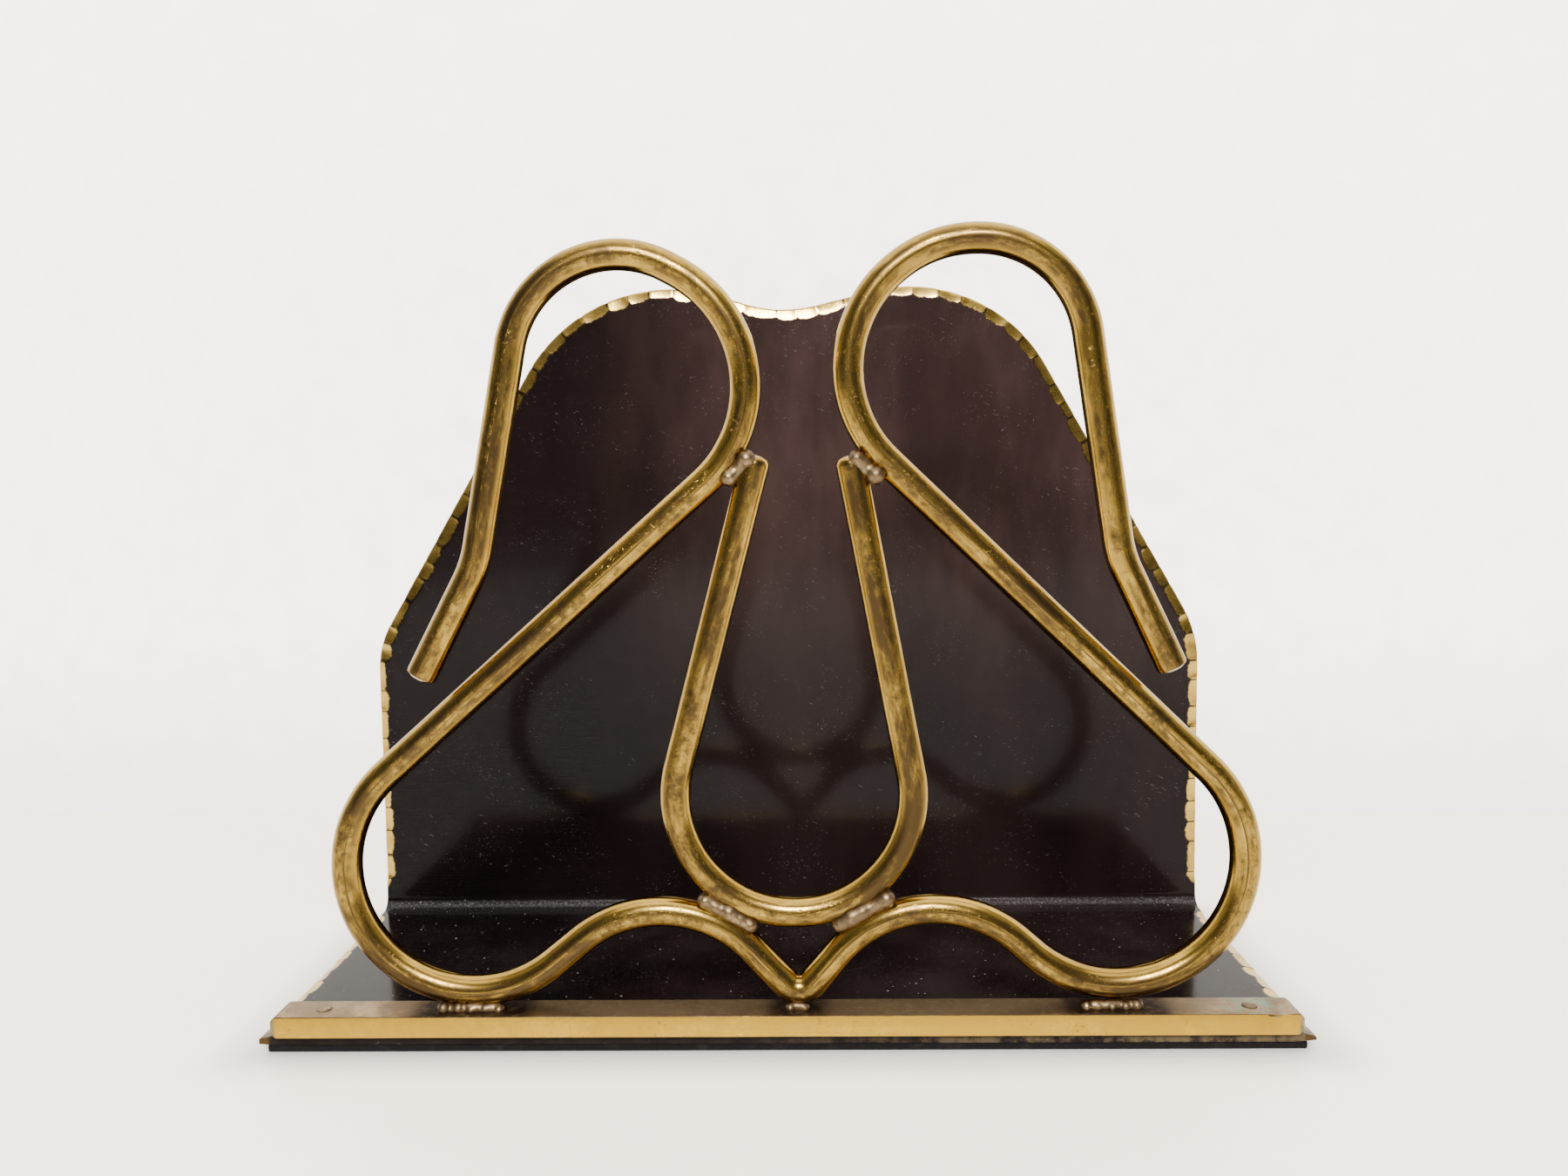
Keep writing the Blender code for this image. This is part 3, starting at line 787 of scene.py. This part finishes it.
SCROLL_ENDS = ((-57.6, 60.7), (62.4, 61.1))
SCROLL_PINS = (
    (-67.2, 85.4, 20.0, LEFT),      # kick-out of the left leg
    (-24.8, 109.7, 17.2, RIGHT),    # left top loop
    (-25.0, 106.4, 20.2, RIGHT),
    (-50.1, 29.8, 20.5, LEFT),      # left lower loop
    (-19.7, 2.1, 20.2, RIGHT),      # left hump
    (2.6, 12.2, 2.9, LEFT),         # the V
    (24.4, 2.2, 20.2, RIGHT),       # right hump
    (53.8, 30.5, 20.5, LEFT),       # right lower loop
    (31.2, 108.7, 19.9, RIGHT),     # right top loop
    (31.6, 111.4, 17.2, RIGHT),
    (71.4, 84.5, 18.2, LEFT),       # kick-out of the right leg
)
TONGUE_ENDS = ((-3.2, 95.6), (11.4, 95.4))
TONGUE_PINS = ((2.1, 41.1, 19.1, LEFT),)
rod_low, rod_high = (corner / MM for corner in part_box("scroll_rod"))
rod_plane = (rod_low.y + rod_high.y) / 2


def bent_rod_tree():
    """Draws a round rod along a path: its ends softened, its surface a little uneven from the hand."""
    tree, given, result = new_tree(
        "bent rod", "GeometryNodeTree",
        (("Path", "Geometry", None), ("Diameter", "Float", 1.0), ("Sides", "Int", 12),
         ("End Rounding", "Float", 0.5), ("Unevenness", "Float", 0.0), ("Finish", "Material", None)),
        (("Rod", "Geometry"),))
    place = put(tree, "GeometryNodeSplineParameter")
    total = put(tree, "GeometryNodeSplineLength").outputs["Length"]
    caught = put(tree, "GeometryNodeCaptureAttribute")
    for label, value in (("along", place.outputs["Length"]), ("total", total)):
        caught.capture_items.new("FLOAT", label)
        tree.links.new(value, caught.inputs[label])
    tree.links.new(given["Path"], caught.inputs["Geometry"])
    to_end = smaller(place.outputs["Length"], minus(total, place.outputs["Length"]))
    short = minus(1.0, smaller(divided(to_end, given["End Rounding"]), 1.0))
    round_off = calc("SQRT", minus(1.0, times(short, short)))
    radius = times(given["Diameter"], 0.5)
    lost = times(minus(1.0, round_off), divided(given["End Rounding"], radius))
    ring = put(tree, "GeometryNodeCurvePrimitiveCircle", {"Resolution": given["Sides"], "Radius": radius})
    ring_place = put(tree, "GeometryNodeSplineParameter").outputs["Factor"]
    ring_caught = put(tree, "GeometryNodeCaptureAttribute")
    ring_caught.capture_items.new("FLOAT", "around")
    tree.links.new(ring_place, ring_caught.inputs["around"])
    tree.links.new(ring.outputs["Curve"], ring_caught.inputs["Geometry"])
    drawn = put(tree, "GeometryNodeCurveToMesh",
                {"Curve": caught.outputs["Geometry"], "Profile Curve": ring_caught.outputs["Geometry"],
                 "Scale": minus(1.0, lost), "Fill Caps": True}).outputs[0]
    drawn = keep(drawn, "along", caught.outputs["along"])
    drawn = keep(drawn, "around", ring_caught.outputs["around"])
    here = put(tree, "GeometryNodeInputPosition").outputs[0]
    low = noise(here, 0.16, 2.0, 0.5)
    offset = scaled(put(tree, "GeometryNodeInputNormal").outputs[0],
                    times(times(low, given["Unevenness"]), -1.0))
    moved = put(tree, "GeometryNodeSetPosition", {"Geometry": drawn, "Offset": offset})
    return finished_tree(moved.outputs[0], given["Finish"], result)


aged_brass, tree, shader = new_finish("aged_brass", Metallic=1.0)
where = millimetres(tree)
along = put(tree, "ShaderNodeAttribute", attribute_name="along").outputs["Fac"]
around = put(tree, "ShaderNodeAttribute", attribute_name="around").outputs["Fac"]
turn = times(around, 2 * math.pi)
unrolled = put(tree, "ShaderNodeCombineXYZ",
               {"X": times(along, 0.30),
                "Y": times(calc("SINE", turn), ROD / 2),
                "Z": times(calc("COSINE", turn), ROD / 2)}).outputs[0]
stain = effect(tarnish, Where=where, Size=0.8, Cover=0.54)
streak = effect(tarnish, Where=unrolled, Size=0.6, Cover=0.62)
way = facing(tree)
toward_front = times(way["Y"], -1.0)
front = eased(toward_front, 0.62, 0.92, 0.12, 1.0)
# Tarnish with painted shade: the rods' backs are darkened, so that they stay dark where the plate reflects
# them.
unpolished_and_shaded_back = eased(toward_front, -0.75, -0.15, 0.75, 0.0)
handled = eased(way["Z"], 0.2, 0.9, 1.0, 0.6)
cover = times(larger(stain["Cloud"], streak["Cloud"]), times(front, handled))
where_on_rack = parts(where)
neglected = times(eased(where_on_rack["X"], -64.0, -46.0, 1.0, 0.45),
                  eased(noise(where, 0.13, 3.0, 0.6), 0.36, 0.62))
cover = larger(cover, times(neglected, front))
cover = larger(cover, unpolished_and_shaded_back)
polished = blend(streak["Cloud"], ROD_POLISHED, ROD_DEEPER)
colour = blend(times(cover, 0.92), polished, ROD_TARNISH)
pits = times(larger(stain["Pits"], streak["Pits"]), front)
colour = blend(times(pits, 0.75), colour, ROD_PIT)
rough = times_plus(cover, 0.18, 0.12)
rough = times_plus(stain["Grain"], 0.05, rough)
rough = times_plus(pits, 0.2, rough)
relief = times_plus(stain["Grain"], 0.3, times(pits, -1.0))
dress(shader, relief, 0.35, 0.0001, Base_Color=colour, Roughness=rough)

def bench_line(points):
    """A bench object that is a line through points."""
    path = bpy.data.curves.new("bench_line", "CURVE")
    path.dimensions = "3D"
    spline = path.splines.new("POLY")
    spline.points.add(len(points) - 1)
    for spot, place in zip(spline.points, points):
        spot.co = (*place, 1.0)
    return bpy.data.objects.new("bench_line", path)


rod_tree = bent_rod_tree()
for name, node_name, ends, pins, rounding in (
        ("scroll", "scroll_rod", SCROLL_ENDS, SCROLL_PINS, SCROLL_END_ROUNDING),
        ("tongue", "tongue_rod", TONGUE_ENDS, TONGUE_PINS, TONGUE_END_ROUNDING)):
    bench = bench_line([(x, rod_plane, z) for x, z in bent_path(ends, pins, ROD_STEP)])
    grow(bench, rod_tree, {"Diameter": ROD, "Sides": ROD_SIDES, "End Rounding": rounding,
                           "Unevenness": ROD_UNEVEN, "Finish": aged_brass})
    rod = settle(name, bench, aged_brass)
    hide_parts(node_name)


# ------------------------------
# Brazed joints. Pale filler metal run into the valleys where the rods touch each other and the
# rail. It froze in overlapping lumps with small bright beads, their sides darker as painted shade,
# and soot with painted shade lies round it on the rail.
# ------------------------------
GRAIN = 0.16  # size of the cells that the lumps are melted together in
STRAY = 0.16  # how far a bead lies off the line of its run
FILLER_PALE = (0.44, 0.315, 0.160, 1)
FILLER_STAINED = (0.17, 0.118, 0.065, 1)
# Painted shade on the lumps' sides.
FILLER_SIDE_SHADE = (0.13, 0.085, 0.05, 1)
FILLER_PIT = (0.05, 0.035, 0.025, 1)
valley_y = rod_plane - 1.15  # where a run of filler sits, in front of the rods' plane
foot_y = rod_plane - 0.75
rail_run_y = rod_plane - 1.5
rail_run_z = rail_high.z + 0.35
# name, where the run starts and ends (x, y, z), beads, radius, how long it flowed, seed
BRAZE_RUNS = (
    ("tongue_top_left", (-4.8, valley_y, 94.8), (-7.4, valley_y, 92.0), 2, 1.75, 12, 3),
    ("tongue_top_right", (12.4, valley_y, 94.8), (15.4, valley_y, 92.0), 2, 1.75, 12, 5),
    ("tongue_foot_left", (-12.4, foot_y, 24.4), (-5.0, foot_y, 20.3), 5, 1.85, 40, 8),
    ("tongue_foot_right", (16.6, foot_y, 24.5), (9.1, foot_y, 20.4), 5, 1.92, 40, 13),
    ("rail_left", (-55.0, rail_run_y, rail_run_z), (-46.0, rail_run_y, rail_run_z), 5, 1.28, 5, 21),
    ("rail_centre", (1.2, rail_run_y, rail_run_z), (3.4, rail_run_y, rail_run_z), 2, 1.15, 5, 34),
    ("rail_right", (48.6, rail_run_y, rail_run_z), (56.8, rail_run_y, rail_run_z), 5, 1.28, 5, 55),
)


def braze_tree():
    """Beads of random size along a run and a softer core behind them, melted into one lump."""
    tree, given, result = new_tree(
        "braze run", "GeometryNodeTree",
        (("Run", "Geometry", None), ("Beads", "Int", 5), ("Bead", "Float", 1.0), ("Stray", "Float", 0.3),
         ("Grain", "Float", 0.2), ("Flow", "Int", 16), ("Seed", "Int", 0),
         ("Finish", "Material", None)),
        (("Lump", "Geometry"),))
    number = put(tree, "GeometryNodeInputIndex").outputs[0]
    second_seed = plus(given["Seed"], 1.0)
    third_seed = plus(given["Seed"], 2.0)
    spread = times(given["Stray"], 2.0)
    shift = put(tree, "ShaderNodeCombineXYZ", {
        axis: times(spread, random_share(-0.5, 0.5, number, seed))
        for axis, seed in (("X", second_seed), ("Y", third_seed), ("Z", given["Seed"]))}).outputs[0]

    def row(count, size_low, size_high, back, seed):
        points = put(tree, "GeometryNodeCurveToPoints", {"Curve": given["Run"], "Count": count},
                     mode="COUNT")
        move = calc_vector("ADD", shift, put(tree, "ShaderNodeCombineXYZ", {"Y": back}).outputs[0])
        moved = put(tree, "GeometryNodeSetPosition", {"Geometry": points.outputs["Points"], "Offset": move})
        size = times(random_share(size_low, size_high, number, seed), given["Bead"])
        return keep(moved.outputs[0], "ball", size)

    joined = put(tree, "GeometryNodeJoinGeometry")
    core_count = times(given["Beads"], 5.0)
    for rows in (row(given["Beads"], 0.62, 0.92, times(given["Bead"], -0.34), given["Seed"]),
                 row(core_count, 0.74, 0.82, 0.0, second_seed)):
        tree.links.new(rows, joined.inputs[0])
    volume = put(tree, "GeometryNodePointsToVolume",
                 {"Points": joined.outputs[0], "Density": 1.0, "Voxel Size": given["Grain"],
                  "Radius": stored(tree, "ball")}, resolution_mode="VOXEL_SIZE").outputs[0]
    lump = put(tree, "GeometryNodeVolumeToMesh", {"Volume": volume, "Threshold": 0.15}).outputs[0]
    place = put(tree, "GeometryNodeInputPosition").outputs[0]
    even = put(tree, "GeometryNodeBlurAttribute", {"Iterations": given["Flow"]}, data_type="FLOAT_VECTOR")
    tree.links.new(place, next(i for i in even.inputs if i.name == "Value" and i.enabled))
    smooth = next(out for out in even.outputs if out.enabled)
    soft = put(tree, "GeometryNodeSetPosition", {"Geometry": lump, "Position": smooth}).outputs[0]
    return finished_tree(soft, given["Finish"], result)


filler, tree, shader = new_finish("braze_filler", Metallic=1.0)
where = millimetres(tree)
stain = effect(tarnish, Where=where, Size=0.5, Cover=0.8)
way = facing(tree)
# Painted shade: the lumps' sides, turned away from the front, are darker.
unshaded_crown = eased(times(way["Y"], -1.0), 0.25, 0.85)
colour = blend(stain["Cloud"], FILLER_PALE, FILLER_STAINED)
colour = blend(unshaded_crown, FILLER_SIDE_SHADE, colour)
colour = blend(times(stain["Pits"], 0.4), colour, FILLER_PIT)
dress(shader, stain["Grain"], 0.25, 0.00012, Base_Color=colour,
      Roughness=times_plus(stain["Cloud"], 0.20, 0.20))

melt = braze_tree()
for name, start, end, beads, bead, flow, seed in BRAZE_RUNS:
    bench = bench_line((start, end))
    grow(bench, melt, {"Beads": beads, "Bead": bead, "Stray": STRAY, "Grain": GRAIN,
                       "Flow": flow, "Seed": seed, "Finish": filler})
    joint = settle("filler_" + name, bench, filler, sharp=60.0)
    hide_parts("braze_" + name)


# ------------------------------
# Studio. A pale table, a pale wall close behind, a large soft light overhead and a small one high in
# front. The wall has one side only, so it doesn't hide the rack from behind.
# ------------------------------
TABLE_REACH = 2.5
WALL_BEHIND = 117.0
WALL_TURN = -1.3
WALL_LIFT = 3.2  # more light on the wall and the table than on the rack
TABLE_LIFT = 1.7
WALL_FOOT = 0.06  # painted shade: the wall's extra light is weaker up to this height
FOOT_SHADE = 0.0  # what is left of the table's extra light against the rack's foot
FOOT_SHADE_REACH = 0.013  # the shade has gone this far out
FOOT_HALF_WIDTH, FOOT_HALF_DEPTH = 0.0838, 0.0311
TABLE_COLOUR = (0.90, 0.875, 0.835)
TABLE_GLOW = (1.0, 0.81, 0.60)
WALL_COLOUR = (0.91, 0.90, 0.885)
WALL_GLOW = (1.0, 0.94, 0.88)
ROOM_COLOUR = (1.0, 0.975, 0.95, 1)


def stage_plane(name, corners, colour, roughness, lift, glow, plaster=False):
    """A plane that isn't part of the rack: the table, or with plaster the wall."""
    mesh = bpy.data.meshes.new(name)
    mesh.from_pydata(corners, [], [(0, 1, 2, 3)])
    plane = bpy.data.objects.new(name, mesh)
    bpy.context.scene.collection.objects.link(plane)
    finish, tree, shader = new_finish(name, Base_Color=(*colour, 1), Roughness=roughness,
                                      Emission_Color=(*glow, 1))
    seen_straight = put(tree, "ShaderNodeLightPath").outputs["Is Camera Ray"]
    lifted = times(seen_straight, lift)
    here = put(tree, "ShaderNodeTexCoord").outputs["Object"]
    if plaster:
        height = parts(here)["Z"]
        # Painted shade: the wall's extra light is weaker near the table.
        lifted = times(lifted, eased(height, 0.0, WALL_FOOT, 0.55, 1.0))
        relief = noise(here, 130.0, 4.0, 0.6)
        # Painted shade: the wall's extra light is weaker in the plaster's hollows.
        lifted = times(lifted, eased(relief, 0.35, 0.65, 0.86, 1.0))
        bump = put(tree, "ShaderNodeBump", {"Height": relief, "Strength": 0.45, "Distance": 0.0012})
        tree.links.new(bump.outputs[0], shader.inputs["Normal"])
        behind = put(tree, "ShaderNodeNewGeometry").outputs["Backfacing"]
        clear = put(tree, "ShaderNodeBsdfTransparent").outputs[0]
        seen = put(tree, "ShaderNodeMixShader", {0: behind, 1: shader.outputs[0], 2: clear})
        tree.links.new(seen.outputs[0], tree.nodes["Material Output"].inputs["Surface"])
    else:
        place = parts(here)
        past = []
        for axis, half in (("X", FOOT_HALF_WIDTH), ("Y", FOOT_HALF_DEPTH)):
            beyond = minus(calc("ABSOLUTE", place[axis]), half)
            past.append(larger(beyond, 0.0))
        squares = times_plus(past[0], past[0], times(past[1], past[1]))
        from_foot = calc("SQRT", squares)
        shade = eased(from_foot, 0.0, FOOT_SHADE_REACH, FOOT_SHADE, 1.0)
        lifted = times(lifted, shade)
    tree.links.new(lifted, shader.inputs["Emission Strength"])
    mesh.materials.append(finish)


far = TABLE_REACH
stage_plane("table", ((-far, -far, 0), (far, -far, 0), (far, far, 0), (-far, far, 0)),
            TABLE_COLOUR, 0.30, TABLE_LIFT, TABLE_GLOW)
lean = math.tan(math.radians(WALL_TURN)) * far
wall_y = WALL_BEHIND * MM
stage_plane("wall", ((-far, wall_y - lean, 0), (far, wall_y + lean, 0),
                     (far, wall_y + lean, far), (-far, wall_y - lean, far)),
            WALL_COLOUR, 0.9, WALL_LIFT, WALL_GLOW, plaster=True)


def soft_light(name, place, aim, size, power, colour):
    """A flat rectangular lamp at place that points at aim."""
    light = bpy.data.lights.new(name, "AREA")
    light.shape = "RECTANGLE"
    light.size, light.size_y = size
    light.energy = power
    light.color = colour
    lamp = bpy.data.objects.new(name, light)
    bpy.context.scene.collection.objects.link(lamp)
    lamp.location = place
    lamp.rotation_euler = (Vector(aim) - Vector(place)).to_track_quat("-Z", "Y").to_euler()


soft_light("overhead", (0.0, -0.10, 1.1), (0.0, 0.0, 0.05), (1.4, 0.9), 8.0, (1.0, 0.98, 0.95))
soft_light("front_lamp", (0.0, -1.05, 0.78), (0.0, 0.0, 0.06), (0.32, 0.24), 26.0, (1.0, 0.97, 0.92))

# The room: bright at the sides, dim in front of the rack, and pale wherever the camera looks past it.
room = bpy.data.worlds.new("room")
room.use_nodes = True
bpy.context.scene.world = room
tree = room.node_tree
sky = parts(put(tree, "ShaderNodeTexCoord").outputs["Generated"])
mirrored = eased(sky["Y"], -0.82, -0.12, 0.030, 0.60)
rays = put(tree, "ShaderNodeLightPath").outputs
level = put(tree, "ShaderNodeMix", {0: rays["Is Glossy Ray"], 2: 0.85, 3: mirrored}).outputs[0]
level = put(tree, "ShaderNodeMix", {0: rays["Is Camera Ray"], 2: level, 3: 0.9}).outputs[0]
background = tree.nodes["Background"].inputs
background["Color"].default_value = ROOM_COLOUR
tree.links.new(level, background["Strength"])

CAMERA_PLACE = (4.66, -223.68, 89.86)
CAMERA_YAW, CAMERA_PITCH, CAMERA_ROLL = -1.104, 4.47, -0.689
SENSOR, LENS = 36.0, 28.4
camera_data = bpy.data.cameras.new("camera")
camera_data.sensor_width = SENSOR
camera_data.lens = LENS
camera_data.clip_start = 0.01
camera = bpy.data.objects.new("camera", camera_data)
bpy.context.scene.collection.objects.link(camera)
camera.matrix_world = (Matrix.Translation(Vector(CAMERA_PLACE) * MM)
                       @ Matrix.Rotation(math.radians(-CAMERA_YAW), 4, "Z")
                       @ Matrix.Rotation(math.radians(90 - CAMERA_PITCH), 4, "X")
                       @ Matrix.Rotation(math.radians(CAMERA_ROLL), 4, "Z"))
bpy.context.scene.camera = camera
